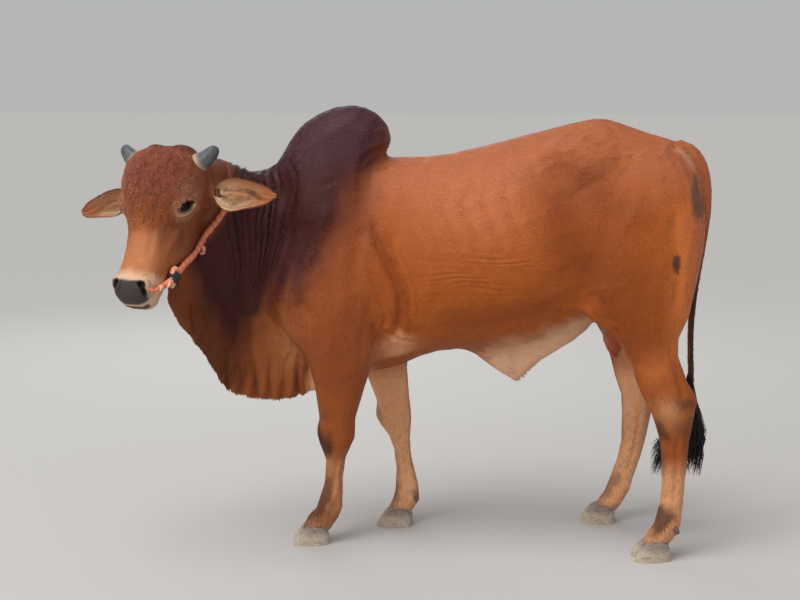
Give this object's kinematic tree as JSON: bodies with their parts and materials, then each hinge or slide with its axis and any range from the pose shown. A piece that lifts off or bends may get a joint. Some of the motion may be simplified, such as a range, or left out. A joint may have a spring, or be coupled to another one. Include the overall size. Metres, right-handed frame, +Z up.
{
  "type": "young humped zebu bull",
  "caption": "Standing young humped zebu bull at life size with its head turned to its left, short horns, deep dewlap, tufted tail and a rope halter without a lead; a still museum-style model.",
  "frame": {"origin": "on the floor, under the middle of the whole model's bounding box", "axes": "+Z up; the body runs along X with the head end at -X and the tail at +X; the bull's left side faces -Y"},
  "size_m": [2.1282, 0.8114, 1.5026],
  "materials": {
    "hide": "short glossy red-brown coat",
    "ear": "thin short-haired skin",
    "horn": "grey ringed horn",
    "hoof": "dusty grey horn",
    "eye": "wet, dark brown",
    "switch_hair": "long black hair",
    "rope": "worn laid rope",
    "strip": "matt dark strip"
  },
  "bodies": {
    "root": {"torso": "hide", "neck": "hide", "hump": "hide", "head": "hide", "foreleg_left": "hide", "foreleg_right": "hide", "hindleg_left": "hide", "hindleg_right": "hide", "cannon_fore_left": "hide", "cannon_fore_right": "hide", "cannon_hind_left": "hide", "cannon_hind_right": "hide", "tail_upper": "hide", "tail_lower": "hide", "ear_left": "ear", "ear_right": "ear", "horn_left": "horn", "horn_right": "horn", "claw_fore_left_inner": "hoof", "claw_fore_left_outer": "hoof", "claw_fore_right_inner": "hoof", "claw_fore_right_outer": "hoof", "claw_hind_left_inner": "hoof", "claw_hind_left_outer": "hoof", "claw_hind_right_inner": "hoof", "claw_hind_right_outer": "hoof", "dewclaw_fore_left_inner": "hoof", "dewclaw_fore_left_outer": "hoof", "dewclaw_fore_right_inner": "hoof", "dewclaw_fore_right_outer": "hoof", "dewclaw_hind_left_inner": "hoof", "dewclaw_hind_left_outer": "hoof", "dewclaw_hind_right_inner": "hoof", "dewclaw_hind_right_outer": "hoof", "eye_left": "eye", "eye_right": "eye", "tail_switch": "switch_hair", "halter_left": "rope", "halter_right": "rope", "halter_strip": "strip"}
  },
  "joints": []
}
